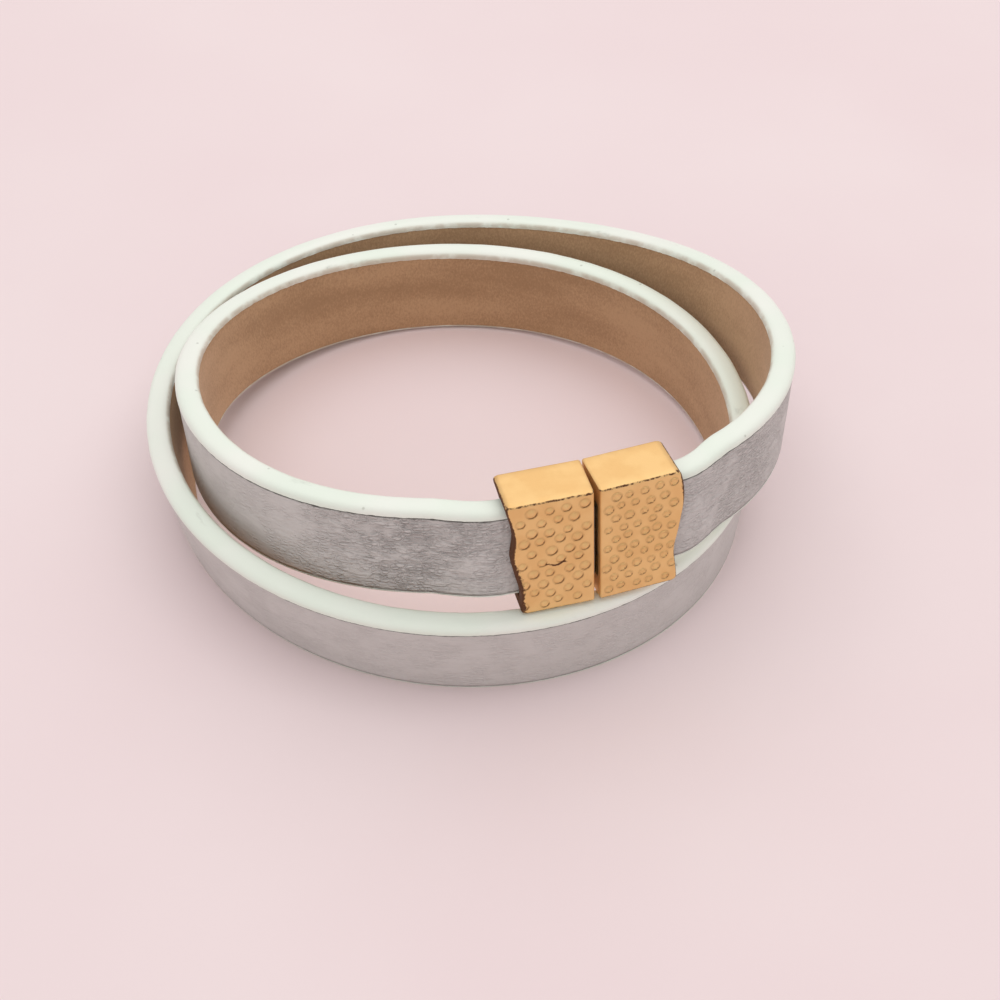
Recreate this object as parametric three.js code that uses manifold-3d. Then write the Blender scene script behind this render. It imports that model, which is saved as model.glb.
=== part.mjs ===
// A flat strap bracelet that goes twice round the wrist, joined by a two-half magnetic clasp.
// Millimetres, +Z up. The strap stands on its edge on Z = 0, and the clasp faces -Y.
// The strap is a laminate: leather outside, a firm core, a lining on the skin side, and painted edges.
// It leaves the right clasp half, goes once round as the outer wrap and comes down to the table in front,
// then passes inside itself, goes round again as the inner wrap and climbs to the left clasp half.
import * as THREE from 'three';
import { mergeVertices } from 'three/addons/utils/BufferGeometryUtils.js';
import Module from 'manifold-3d';

const wasm = await Module();
wasm.setup();

// Strap section
const STRAP_WIDTH = 10;
const LEATHER_THICKNESS = 0.8;
const CORE_THICKNESS = 0.64;
const LINING_THICKNESS = 0.6;
const GLUE_LINE = 0.08;
const EDGE_PAINT_HEIGHT = 0.6;
const EDGE_PAINT_CROWN = 0.45;
const STRAP_THICKNESS = LEATHER_THICKNESS + CORE_THICKNESS + LINING_THICKNESS + 2 * GLUE_LINE;

// Strap route, seen from above: the inner wrap's oval, and the free space between two wraps side by side
const LOOP_RADIUS = 26.2;
const LOOP_OVALITY = 0.8;
const LOOP_OVAL_ANGLE = 35;
const WRAP_GAP = 0.2;
const STEP_ANGLE = 7.5;
const BRIDGE_STEPS = 4;

// Clasp halves: rigid castings with a wavy outer end
const CLASP_X = 2.5;
const SEAM_GAP = 0.35;
const SLOT_DEPTH = 3.8;
const SLOT_CLEARANCE = 0.15;
const UPPER_WALL = 1.25;
const FRONT_WALL = 1.15;
const RIGHT_WEB = 0.6;
const LEFT_WEB = 1.75;
const SHELL_ROUND = 0.3;
const GLUE_PAD = 0.5;
const GLUE_PAD_GAP = 0.1;
const MOUTH_RUN = 0.4;
const EXIT_RUN = 6;
const REST_GAP = 0.05;

// How the closed clasp sits, in degrees: it leans back, its right end is up, and its halves follow the wrist
const CLASP_PITCH = -2.5;
const CLASP_ROLL = -1.2;
const RIGHT_YAW = 0.9;
const LEFT_YAW = -3.5;
const CLASP_FORWARD = 1.1;

// Magnets: the left one stands proud and drops in the right half's pocket, where the other is sunk
const MAGNET_HEIGHT = 8;
const MAGNET_DEPTH = 3;
const MAGNET_THICKNESS = 2;
const MAGNET_PROUD = 0.7;
const MAGNET_CLEARANCE = 0.2;
const MAGNET_FACE_GAP = 0.2;
const MAGNET_ROUND = 0.15;

// What follows from them: each magnet's pocket from the seam face, and each half round its slot and pocket
const LEFT_POCKET_DEPTH = MAGNET_THICKNESS - MAGNET_PROUD + SEAM_GAP + GLUE_PAD_GAP;
const RIGHT_POCKET_DEPTH = MAGNET_PROUD + MAGNET_FACE_GAP + MAGNET_THICKNESS + GLUE_PAD_GAP;
const RIGHT_HALF_LENGTH = SLOT_DEPTH + RIGHT_WEB + RIGHT_POCKET_DEPTH;
const LEFT_HALF_LENGTH = SLOT_DEPTH + LEFT_WEB + LEFT_POCKET_DEPTH;
const CLASP_HEIGHT = STRAP_WIDTH + 2 * SLOT_CLEARANCE + 2 * UPPER_WALL;
const CLASP_DEPTH = STRAP_THICKNESS + 2 * SLOT_CLEARANCE + 2 * FRONT_WALL;

// Where the outer wrap bends as it opens, as angles along the route, and the slit between two sections
const BENDS = [120, 180, 240];
const SECTION_GAP = 0.15;

// The route's stations, one every 40 degrees from the front towards the right, over two turns. Each one holds
// how many places outside the inner oval the strap lies, how high its lower edge is as a share of its height
// at the clasp, and how many degrees it leans out. A smooth cubic spline runs along them.
const STATION_STEP = 40;
const FIRST_STATION = -60;
const ROUTE = [
  [0, 1.1, 0],
  [0, 1.06, 0],
  [1.49, 1.04, -1],
  [1.94, 0.83, 1],
  [1.29, 0.48, 8],
  [1.03, 0.1, 9],
  [1.16, 0, 9],
  [1.36, 0, 8],
  [1.48, 0, 11],
  [2.04, 0.01, 15],
  [2.24, 0, 11],
  [1.45, 0, 9],
  [0.26, 0, 4],
  [-0.26, 0.08, 2],
  [-0.78, 0.04, 0],
  [-0.9, 0, 3],
  [-0.33, 0.1, 9],
  [0.47, 0.45, 4],
  [0.82, 0.62, -2],
  [0.92, 0.94, -2],
  [1.23, 1.12, -1],
  [1.16, 1.2, 0],
];
const STEP = 0;
const RISE = 1;
const LEAN = 2;
const BELOW_CLASP = 352;
const SOLVER_PASSES = 20;

const radians = THREE.MathUtils.degToRad;

// The smooth value of one column of the route at an angle.
function along(column, angle) {
  const place = (angle - FIRST_STATION) / STATION_STEP;
  const before = Math.floor(place) - 1;
  const t = place - before - 1;
  const weights = [(1 - t) ** 3, 3 * t ** 3 - 6 * t ** 2 + 4, -3 * t ** 3 + 3 * t ** 2 + 3 * t + 1, t ** 3];
  return weights.reduce((sum, weight, k) => sum + (weight * ROUTE[before + k][column]) / 6, 0);
}

// Distance of the strap's middle from the loop's centre.
function radiusAt(angle) {
  const oval = LOOP_RADIUS + LOOP_OVALITY * Math.cos(2 * radians(angle - LOOP_OVAL_ANGLE));
  return oval + (STRAP_THICKNESS + WRAP_GAP) * along(STEP, angle);
}

function planAt(angle) {
  const radius = radiusAt(angle);
  return new THREE.Vector3(radius * Math.sin(radians(angle)), -radius * Math.cos(radians(angle)), 0);
}

// Height of the strap's upper edge above its lower edge when it leans.
function leaningHeight(lean) {
  return STRAP_WIDTH * Math.cos(lean) + STRAP_THICKNESS * Math.sin(Math.abs(lean));
}

// Height of the highest point of the crowned upper edge above the lowest corner when the strap leans.
function crestHeight(lean) {
  const spring = (STRAP_WIDTH / 2 - EDGE_PAINT_CROWN) * Math.cos(lean);
  const crown = Math.hypot((STRAP_THICKNESS / 2) * Math.sin(lean), EDGE_PAINT_CROWN * Math.cos(lean));
  return leaningHeight(lean) / 2 + spring + crown;
}

// The clasp rests on the strap's crowned upper edge in front, with the lower front corner of its left half.
const CORNER_DROP = LEFT_HALF_LENGTH * Math.sin(radians(-CLASP_ROLL));
const CLASP_Z = crestHeight(radians(along(LEAN, BELOW_CLASP))) + REST_GAP + CORNER_DROP + CLASP_HEIGHT / 2;
const TOP_RISE = CLASP_Z - STRAP_WIDTH / 2;

// A frame across the strap: its middle, the direction to the skin side and the direction to the upper edge.
function frameAt(angle) {
  const lean = radians(along(LEAN, angle));
  const run = planAt(angle + 1).sub(planAt(angle - 1)).normalize();
  const outward = new THREE.Vector3(run.y, -run.x, 0);
  const upright = new THREE.Vector3(0, 0, 1);
  const up = upright.clone().multiplyScalar(Math.cos(lean)).addScaledVector(outward, Math.sin(lean));
  const inward = outward.clone().multiplyScalar(-Math.cos(lean)).addScaledVector(upright, Math.sin(lean));
  const middle = planAt(angle);
  middle.z = TOP_RISE * along(RISE, angle) + leaningHeight(lean) / 2;
  return { middle, inward, up };
}

function framesBetween(start, end) {
  const steps = Math.ceil((end - start) / STEP_ANGLE);
  return Array.from({ length: steps + 1 }, (_, k) => frameAt(start + ((end - start) * k) / steps));
}

// The angle where the route crosses a given X in front, after a whole number of turns.
function frontAngleAtX(x, turns) {
  let angle = turns * 360;
  for (let pass = 0; pass < SOLVER_PASSES; pass++) {
    angle = turns * 360 + THREE.MathUtils.radToDeg(Math.asin(x / radiusAt(angle)));
  }
  return angle;
}

const RIGHT_MOUTH = CLASP_X + SEAM_GAP / 2 + RIGHT_HALF_LENGTH;
const LEFT_MOUTH = CLASP_X - SEAM_GAP / 2 - LEFT_HALF_LENGTH;
const ROUTE_START = frontAngleAtX(RIGHT_MOUTH + EXIT_RUN, 0);
const ROUTE_END = frontAngleAtX(LEFT_MOUTH - EXIT_RUN, 2);
const MOUTHS_Y = (planAt(frontAngleAtX(RIGHT_MOUTH, 0)).y + planAt(frontAngleAtX(LEFT_MOUTH, 2)).y) / 2;

// The clasp and its halves, each half with its origin in the middle of its seam face.
const clasp = new THREE.Group();
clasp.position.set(CLASP_X, MOUTHS_Y - CLASP_FORWARD, CLASP_Z);
clasp.rotation.set(radians(CLASP_PITCH), radians(CLASP_ROLL), 0);
const rightHalf = new THREE.Group();
rightHalf.position.x = SEAM_GAP / 2;
rightHalf.rotation.z = radians(RIGHT_YAW);
const leftHalf = new THREE.Group();
leftHalf.position.x = -SEAM_GAP / 2;
leftHalf.rotation.z = radians(LEFT_YAW);
clasp.add(rightHalf, leftHalf);
clasp.updateMatrixWorld(true);

// Inside a clasp half the strap lies straight along the half's own X.
function slotFrame(half, x) {
  const middle = half.localToWorld(new THREE.Vector3(x, 0, 0));
  const inward = new THREE.Vector3(0, 1, 0).transformDirection(half.matrixWorld);
  const up = new THREE.Vector3(0, 0, 1).transformDirection(half.matrixWorld);
  return { middle, inward, up };
}

// Frames between two others, on a smooth curve that leaves the first and meets the second head on.
function framesBridging(from, to) {
  const length = from.middle.distanceTo(to.middle);
  const leave = new THREE.Vector3().crossVectors(from.inward, from.up).multiplyScalar(length / 3);
  const meet = new THREE.Vector3().crossVectors(to.inward, to.up).multiplyScalar(length / 3);
  const curve = new THREE.CubicBezierCurve3(
    from.middle,
    from.middle.clone().add(leave),
    to.middle.clone().sub(meet),
    to.middle,
  );
  return Array.from({ length: BRIDGE_STEPS - 1 }, (_, k) => {
    const t = (k + 1) / BRIDGE_STEPS;
    const inward = from.inward.clone().lerp(to.inward, t).normalize();
    const up = from.up.clone().lerp(to.up, t);
    up.addScaledVector(inward, -up.dot(inward)).normalize();
    return { middle: curve.getPoint(t), inward, up };
  });
}

const STRAP_END_DEPTH = SLOT_DEPTH - GLUE_PAD - 2 * GLUE_PAD_GAP;
const halfSlit = (angle) => THREE.MathUtils.radToDeg(SECTION_GAP / 2 / radiusAt(angle));
const rightEnd = slotFrame(rightHalf, RIGHT_HALF_LENGTH - STRAP_END_DEPTH);
const rightMouth = slotFrame(rightHalf, RIGHT_HALF_LENGTH + MOUTH_RUN);
const leftMouth = slotFrame(leftHalf, -LEFT_HALF_LENGTH - MOUTH_RUN);
const leftEnd = slotFrame(leftHalf, STRAP_END_DEPTH - LEFT_HALF_LENGTH);
const rightRun = framesBetween(ROUTE_START, BENDS[0] - halfSlit(BENDS[0]));
const mainRun = framesBetween(BENDS[2] + halfSlit(BENDS[2]), ROUTE_END);

const sections = {
  right: [rightEnd, rightMouth, ...framesBridging(rightMouth, rightRun[0]), ...rightRun],
  rear_right: framesBetween(BENDS[0] + halfSlit(BENDS[0]), BENDS[1] - halfSlit(BENDS[1])),
  rear_left: framesBetween(BENDS[1] + halfSlit(BENDS[1]), BENDS[2] - halfSlit(BENDS[2])),
  main: [...mainRun, ...framesBridging(mainRun.at(-1), leftMouth), leftMouth, leftEnd],
};

// Sweeps an outline (X to the skin side, Y to the upper edge) through a list of frames.
function sweep(outline, frames) {
  const steps = frames.length - 1;
  const geometry = new THREE.ExtrudeGeometry(outline, {
    depth: steps,
    steps,
    bevelEnabled: false,
    curveSegments: 3,
  });
  const position = geometry.attributes.position;
  const point = new THREE.Vector3();
  for (let k = 0; k < position.count; k++) {
    const frame = frames[Math.round(position.getZ(k))];
    point.copy(frame.middle);
    point.addScaledVector(frame.inward, position.getX(k));
    point.addScaledVector(frame.up, position.getY(k));
    position.setXYZ(k, point.x, point.y, point.z);
  }
  geometry.computeVertexNormals();
  return geometry;
}

// A layer of the laminate, between the two painted edges, with a point at mid-height so that it can twist.
function layerOutline(fromSkinSide, thickness) {
  const halfHeight = STRAP_WIDTH / 2 - EDGE_PAINT_HEIGHT - GLUE_LINE;
  const inner = STRAP_THICKNESS / 2 - fromSkinSide;
  const shape = new THREE.Shape();
  shape.moveTo(inner - thickness, -halfHeight);
  shape.lineTo(inner, -halfHeight);
  shape.lineTo(inner, 0);
  shape.lineTo(inner, halfHeight);
  shape.lineTo(inner - thickness, halfHeight);
  shape.lineTo(inner - thickness, 0);
  return shape;
}

// The painted bead along an edge: flat where it meets the laminate, crowned outside. side is 1 or -1.
function edgeOutline(side) {
  const base = (STRAP_WIDTH / 2 - EDGE_PAINT_HEIGHT) * side;
  const spring = (STRAP_WIDTH / 2 - EDGE_PAINT_CROWN) * side;
  const half = STRAP_THICKNESS / 2;
  const shape = new THREE.Shape();
  shape.moveTo(-half * side, base);
  shape.lineTo(half * side, base);
  shape.lineTo(half * side, spring);
  const turn = side > 0 ? [0, Math.PI] : [Math.PI, 2 * Math.PI];
  shape.absellipse(0, spring, half, EDGE_PAINT_CROWN, turn[0], turn[1], false);
  return shape;
}

const outlines = {
  leather: layerOutline(LINING_THICKNESS + CORE_THICKNESS + 2 * GLUE_LINE, LEATHER_THICKNESS),
  core: layerOutline(LINING_THICKNESS + GLUE_LINE, CORE_THICKNESS),
  lining: layerOutline(0, LINING_THICKNESS),
  top_edge_paint: edgeOutline(1),
  bottom_edge_paint: edgeOutline(-1),
};

// Wavy outer ends: each point is a share of the height, from the bottom, and how far the end stands out there.
const RIGHT_WAVE = [[0, 0], [0.14, -0.15], [0.28, -0.34], [0.5, 0.1], [0.78, 0.5], [0.9, 0.35], [1, 0.05]];
const LEFT_WAVE = [[0, -0.45], [0.15, -0.6], [0.35, -0.15], [0.5, 0.15], [0.7, -0.1], [0.88, 0.3], [1, 0.65]];

// A cast half seen from the front, with its seam face at X = 0. side is 1 for the right half, -1 for the left.
function halfOutline(length, wave, side) {
  const end = wave.map(([share, out]) => new THREE.Vector2((length + out) * side, (share - 0.5) * CLASP_HEIGHT));
  const shape = new THREE.Shape();
  shape.moveTo(0, -CLASP_HEIGHT / 2);
  shape.lineTo(end[0].x, end[0].y);
  shape.splineThru(end.slice(1));
  shape.lineTo(0, CLASP_HEIGHT / 2);
  return shape;
}

function toSolid(geometry) {
  const bare = geometry.clone();
  bare.deleteAttribute('normal');
  bare.deleteAttribute('uv');
  const merged = mergeVertices(bare, 1e-4);
  const triVerts = new Uint32Array(merged.index.array);
  const vertProperties = new Float32Array(merged.attributes.position.array);
  return new wasm.Manifold(new wasm.Mesh({ numProp: 3, vertProperties, triVerts }));
}

function toGeometry(solid) {
  const mesh = solid.getMesh();
  const geometry = new THREE.BufferGeometry();
  geometry.setAttribute('position', new THREE.BufferAttribute(mesh.vertProperties, 3));
  geometry.setIndex(new THREE.BufferAttribute(mesh.triVerts, 1));
  geometry.computeVertexNormals();
  return geometry;
}

// A block between two values of X, centred on the clasp's axis.
function block(fromX, toX, depth, height) {
  return new THREE.BoxGeometry(toX - fromX, depth, height).translate((fromX + toX) / 2, 0, 0);
}

function shellGeometry(length, wave, side, pocketDepth) {
  const body = new THREE.ExtrudeGeometry(halfOutline(length, wave, side), {
    depth: CLASP_DEPTH - 2 * SHELL_ROUND,
    bevelThickness: SHELL_ROUND,
    bevelSize: SHELL_ROUND,
    bevelOffset: -SHELL_ROUND,
    bevelSegments: 2,
    curveSegments: 2,
  });
  body.rotateX(Math.PI / 2);
  body.translate(0, CLASP_DEPTH / 2 - SHELL_ROUND, 0);
  const slotBottom = (length - SLOT_DEPTH) * side;
  const pastEnd = (length + EXIT_RUN) * side;
  const slotWall = 2 * SLOT_CLEARANCE;
  const slot = block(
    Math.min(slotBottom, pastEnd),
    Math.max(slotBottom, pastEnd),
    STRAP_THICKNESS + slotWall,
    STRAP_WIDTH + slotWall,
  );
  const pocketBottom = pocketDepth * side;
  const pastSeam = -side;
  const pocket = block(
    Math.min(pocketBottom, pastSeam),
    Math.max(pocketBottom, pastSeam),
    MAGNET_DEPTH + 2 * MAGNET_CLEARANCE,
    MAGNET_HEIGHT + 2 * MAGNET_CLEARANCE,
  );
  return toGeometry(toSolid(body).subtract(toSolid(slot)).subtract(toSolid(pocket)));
}

// A bar magnet with softened edges, its thickness along X and its middle at the origin.
function magnetGeometry() {
  const halfDepth = MAGNET_DEPTH / 2;
  const halfHeight = MAGNET_HEIGHT / 2;
  const shape = new THREE.Shape();
  shape.moveTo(-halfHeight, -halfDepth);
  shape.lineTo(halfHeight, -halfDepth);
  shape.lineTo(halfHeight, halfDepth);
  shape.lineTo(-halfHeight, halfDepth);
  const bar = new THREE.ExtrudeGeometry(shape, {
    depth: MAGNET_THICKNESS - 2 * MAGNET_ROUND,
    bevelThickness: MAGNET_ROUND,
    bevelSize: MAGNET_ROUND,
    bevelOffset: -MAGNET_ROUND,
    bevelSegments: 1,
  });
  bar.translate(0, 0, MAGNET_ROUND - MAGNET_THICKNESS / 2);
  bar.rotateY(Math.PI / 2);
  return bar;
}

function gluePadGeometry() {
  const clear = 2 * GLUE_PAD_GAP;
  return new THREE.BoxGeometry(GLUE_PAD, STRAP_THICKNESS - clear, STRAP_WIDTH - clear);
}

// Materials
const finish = (color, roughness, metalness) => new THREE.MeshStandardMaterial({ color, roughness, metalness });
const layerFinishes = {
  leather: () => finish(0xe4e1dd, 0.55, 0),
  core: () => finish(0x8d7a66, 0.9, 0),
  lining: () => finish(0xa0805c, 0.85, 0),
  top_edge_paint: () => finish(0xe6e9dc, 0.4, 0),
  bottom_edge_paint: () => finish(0xe6e9dc, 0.4, 0),
};
const roseGold = () => finish(0xdba766, 0.3, 1);
const nickel = () => finish(0xb9b7b2, 0.25, 1);
const setGlue = () => finish(0xd8d2c0, 0.5, 0);

const bracelet = new THREE.Group();

function add(name, geometry, material, parent) {
  const mesh = new THREE.Mesh(geometry, material);
  mesh.name = name;
  parent.add(mesh);
  return mesh;
}

for (const [section, frames] of Object.entries(sections)) {
  for (const [layer, outline] of Object.entries(outlines)) {
    add(`${section}_${layer}`, sweep(outline, frames), layerFinishes[layer](), bracelet);
  }
}

bracelet.add(clasp);

const rightShell = shellGeometry(RIGHT_HALF_LENGTH, RIGHT_WAVE, 1, RIGHT_POCKET_DEPTH);
add('right_clasp_shell', rightShell, roseGold(), rightHalf);
const rightMagnet = add('right_magnet', magnetGeometry(), nickel(), rightHalf);
rightMagnet.position.x = RIGHT_POCKET_DEPTH - GLUE_PAD_GAP - MAGNET_THICKNESS / 2;
const rightPad = add('right_strap_glue', gluePadGeometry(), setGlue(), rightHalf);
rightPad.position.x = RIGHT_HALF_LENGTH - SLOT_DEPTH + GLUE_PAD_GAP + GLUE_PAD / 2;

const leftShell = shellGeometry(LEFT_HALF_LENGTH, LEFT_WAVE, -1, LEFT_POCKET_DEPTH);
add('left_clasp_shell', leftShell, roseGold(), leftHalf);
const leftMagnet = add('left_magnet', magnetGeometry(), nickel(), leftHalf);
leftMagnet.position.x = -LEFT_POCKET_DEPTH + GLUE_PAD_GAP + MAGNET_THICKNESS / 2;
const leftPad = add('left_strap_glue', gluePadGeometry(), setGlue(), leftHalf);
leftPad.position.x = -(LEFT_HALF_LENGTH - SLOT_DEPTH + GLUE_PAD_GAP + GLUE_PAD / 2);

// The part's origin is under the middle of its outline, on the table.
const outline = new THREE.Box3().setFromObject(bracelet, true);
const centre = outline.getCenter(new THREE.Vector3());
bracelet.position.set(-centre.x, -centre.y, -outline.min.z);
const part = new THREE.Group();
part.add(bracelet);

export default part;
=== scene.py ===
# %% [markdown]
# # A double-wrap strap bracelet with a hammered magnetic clasp
# The bracelet is one flat strap, 10 mm wide, that goes twice round the wrist. It is a laminate:
# pebbled white leather outside, a firm core, a tan suede lining on the skin side, and a bead of
# edge paint along both edges. Two cast, rose-gold plated halves with magnets close it. The packed
# model gives every place and every moving body, so this lesson only adds the surfaces that the
# eye sees.

import itertools
import math

import bpy
import numpy as np
from mathutils import Matrix, Vector


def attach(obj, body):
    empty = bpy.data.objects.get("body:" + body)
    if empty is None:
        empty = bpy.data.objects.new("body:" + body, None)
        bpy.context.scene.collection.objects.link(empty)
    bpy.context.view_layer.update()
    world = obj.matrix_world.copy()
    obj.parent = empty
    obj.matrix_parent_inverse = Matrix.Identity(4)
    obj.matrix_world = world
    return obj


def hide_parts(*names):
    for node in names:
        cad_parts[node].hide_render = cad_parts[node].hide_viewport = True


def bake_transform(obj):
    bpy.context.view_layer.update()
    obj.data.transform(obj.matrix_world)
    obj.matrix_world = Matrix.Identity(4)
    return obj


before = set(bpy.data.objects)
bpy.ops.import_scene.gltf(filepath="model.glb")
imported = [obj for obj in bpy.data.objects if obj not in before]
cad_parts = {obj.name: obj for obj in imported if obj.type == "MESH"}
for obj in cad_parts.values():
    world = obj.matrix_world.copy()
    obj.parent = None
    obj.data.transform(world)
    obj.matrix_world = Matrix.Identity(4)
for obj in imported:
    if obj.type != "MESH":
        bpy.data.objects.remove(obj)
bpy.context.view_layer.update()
MM = 0.001


def placed(name, data):
    """A new object that shows some data, linked into the scene."""
    made = bpy.data.objects.new(name, data)
    bpy.context.collection.objects.link(made)
    return made



# %% [markdown]
# ## Sizes of the strap
# These are the sizes that the CAD source gives the laminate, in millimetres. A sweep needs the
# same route as the CAD, and the only way to have it here is to state it again: a smooth spline
# guided by stations 40 degrees apart, each with a step outwards, a rise and a lean. It passes
# near each station.

# %% Strap and route sizes
STRAP_WIDTH = 10
LEATHER_THICKNESS = 0.8
CORE_THICKNESS = 0.64
LINING_THICKNESS = 0.6
GLUE_LINE = 0.08
STRAP_THICKNESS = LEATHER_THICKNESS + CORE_THICKNESS + LINING_THICKNESS + 2 * GLUE_LINE
LOOP_RADIUS = 26.2
LOOP_OVALITY = 0.8
LOOP_OVAL_ANGLE = 35
WRAP_GAP = 0.2
STATION_STEP = 40
FIRST_STATION = -60
BELOW_CLASP = 352
ROUTE = np.array([
    [0, 1.1, 0], [0, 1.06, 0], [1.49, 1.04, -1], [1.94, 0.83, 1],
    [1.29, 0.48, 8], [1.03, 0.1, 9], [1.16, 0, 9], [1.36, 0, 8],
    [1.48, 0, 11], [2.04, 0.01, 15], [2.24, 0, 11], [1.45, 0, 9],
    [0.26, 0, 4], [-0.26, 0.08, 2], [-0.78, 0.04, 0], [-0.9, 0, 3],
    [-0.33, 0.1, 9], [0.47, 0.45, 4], [0.82, 0.62, -2], [0.92, 0.94, -2],
    [1.23, 1.12, -1], [1.16, 1.2, 0],
])
STEP, RISE, LEAN = 0, 1, 2

# %% Clasp sizes
CLASP_X = 2.5
SEAM_GAP = 0.35
SLOT_DEPTH = 3.8
SLOT_CLEARANCE = 0.15
CLASP_HEIGHT = 12.8
CLASP_DEPTH = 4.8
HALF_LENGTH = {"right": 7.4, "left": 7.3}
HALF_YAW = {"right": 0.9, "left": -3.5}
CLASP_PITCH = -2.5
CLASP_ROLL = -1.2
CLASP_FORWARD = 1.1
MOUTH_RUN = 0.4
EXIT_RUN = 6
STRAP_END_DEPTH = 3.1
REST_GAP = 0.05
EDGE_PAINT_CROWN = 0.45


# %% [markdown]
# ## The route as frames
# At each angle the route has a frame: a middle point, the direction to the skin side and the
# direction to the upper edge. Blender could follow a curve object with a bevel, but a curve can't
# lean or be cut where the bracelet bends, so the frames are worked out with arrays and the mesh
# is swept by hand.

# %% Route helpers
def along(column, angle):
    place = (angle - FIRST_STATION) / STATION_STEP
    before = np.floor(place).astype(int) - 1
    t = place - before - 1
    weights = ((1 - t) ** 3, 3 * t**3 - 6 * t**2 + 4, -3 * t**3 + 3 * t**2 + 3 * t + 1, t**3)
    return sum(w * ROUTE[before + k, column] for k, w in enumerate(weights)) / 6


def radius_at(angle):
    oval = LOOP_RADIUS + LOOP_OVALITY * np.cos(2 * np.radians(angle - LOOP_OVAL_ANGLE))
    return oval + (STRAP_THICKNESS + WRAP_GAP) * along(STEP, angle)


def plan_at(angle):
    turn = np.radians(angle)
    flat = radius_at(angle) * np.array([np.sin(turn), -np.cos(turn), np.zeros_like(turn)])
    return np.moveaxis(flat, 0, -1)


def leaning_height(lean):
    return STRAP_WIDTH * np.cos(lean) + STRAP_THICKNESS * np.sin(np.abs(lean))


def unit(rows):
    return rows / np.linalg.norm(rows, axis=-1, keepdims=True)


def crest_height(lean):
    spring = (STRAP_WIDTH / 2 - EDGE_PAINT_CROWN) * np.cos(lean)
    crown = np.hypot(STRAP_THICKNESS / 2 * np.sin(lean), EDGE_PAINT_CROWN * np.cos(lean))
    return leaning_height(lean) / 2 + spring + crown


CORNER_DROP = HALF_LENGTH["left"] * math.sin(math.radians(-CLASP_ROLL))
CREST = float(crest_height(np.radians(along(LEAN, np.array(BELOW_CLASP)))))
CLASP_Z = CREST + REST_GAP + CORNER_DROP + CLASP_HEIGHT / 2
TOP_RISE = CLASP_Z - STRAP_WIDTH / 2
UPRIGHT = np.array([0.0, 0.0, 1.0])


def route_frames(angles):
    lean = np.radians(along(LEAN, angles))[:, None]
    run = unit(plan_at(angles + 1) - plan_at(angles - 1))
    outward = np.stack([run[:, 1], -run[:, 0], np.zeros(len(run))], 1)
    up = UPRIGHT * np.cos(lean) + outward * np.sin(lean)
    inward = UPRIGHT * np.sin(lean) - outward * np.cos(lean)
    middle = plan_at(angles)
    middle[:, 2] = TOP_RISE * along(RISE, angles) + leaning_height(lean[:, 0]) / 2
    return middle, inward, up


FRONT_STEPS = 20


def front_angle(x, turns):
    """The angle at which the route passes x at the front, closed in on step by step."""
    angle = np.array(turns * 360.0)
    for _ in range(FRONT_STEPS):
        angle = turns * 360 + np.degrees(np.arcsin(x / radius_at(angle)))
    return angle


# %% Where the strap meets the clasp
RIGHT_MOUTH = CLASP_X + SEAM_GAP / 2 + HALF_LENGTH["right"]
LEFT_MOUTH = CLASP_X - SEAM_GAP / 2 - HALF_LENGTH["left"]
ROUTE_START = float(front_angle(RIGHT_MOUTH + EXIT_RUN, 0))
ROUTE_END = float(front_angle(LEFT_MOUTH - EXIT_RUN, 2))
right_mouth_y = plan_at(front_angle(RIGHT_MOUTH, 0))[1]
left_mouth_y = plan_at(front_angle(LEFT_MOUTH, 2))[1]
MOUTHS_Y = float(right_mouth_y + left_mouth_y) / 2
SHIFT = np.array([0.3892, 0.8157, -0.1344])


def turned(axis, degrees):
    return np.array(Matrix.Rotation(math.radians(degrees), 3, axis))


def half_frame(side):
    """Origin in the middle of the seam face, and the half's own axes as the rows of a matrix."""
    clasp = turned("X", CLASP_PITCH) @ turned("Y", CLASP_ROLL)
    offset = SEAM_GAP / 2 if side == "right" else -SEAM_GAP / 2
    origin = np.array([CLASP_X, MOUTHS_Y - CLASP_FORWARD, CLASP_Z]) + clasp @ [offset, 0, 0]
    return origin, (clasp @ turned("Z", HALF_YAW[side])).T


HALF_FRAMES = {side: half_frame(side) for side in HALF_YAW}
print("route from", round(ROUTE_START, 2), "to", round(ROUTE_END, 2), "degrees")
print("shift in mm:", SHIFT.round(4))


# %% [markdown]
# ## One list of frames for the whole strap
# The strap runs straight in the slot of the right half, bends gently on to its route, goes round
# twice and ends straight in the left half's slot. One dense list of frames serves every layer, so
# that all the layers stay glued together, and the pieces that are cut from it meet exactly.

# %% Frames in the slots and on the way to them
FRAME_STEP = 0.3
ROUTE_TURN = 0.6


def slot_frames(side, from_x, to_x):
    origin, axes = HALF_FRAMES[side]
    count = round(abs(to_x - from_x) / FRAME_STEP) + 1
    middle = origin + np.linspace(from_x, to_x, count)[:, None] * axes[0]
    return middle, np.tile(axes[1], (count, 1)), np.tile(axes[2], (count, 1))


def bridge(start, end, count=20):
    (m0, i0, u0), (m1, i1, u1) = start, end
    reach = np.linalg.norm(m1 - m0) / 3
    a, b = m0 + reach * np.cross(i0, u0), m1 - reach * np.cross(i1, u1)
    t = np.linspace(0, 1, count)[1:-1, None]
    middle = (1 - t) ** 3 * m0 + 3 * t * (1 - t) ** 2 * a + 3 * t**2 * (1 - t) * b + t**3 * m1
    inward = unit(i0 + (i1 - i0) * t)
    up = u0 + (u1 - u0) * t
    up = unit(up - inward * (up * inward).sum(1, keepdims=True))
    return middle, inward, up


def end_of(frames, k):
    return tuple(part[k] for part in frames)


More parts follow.
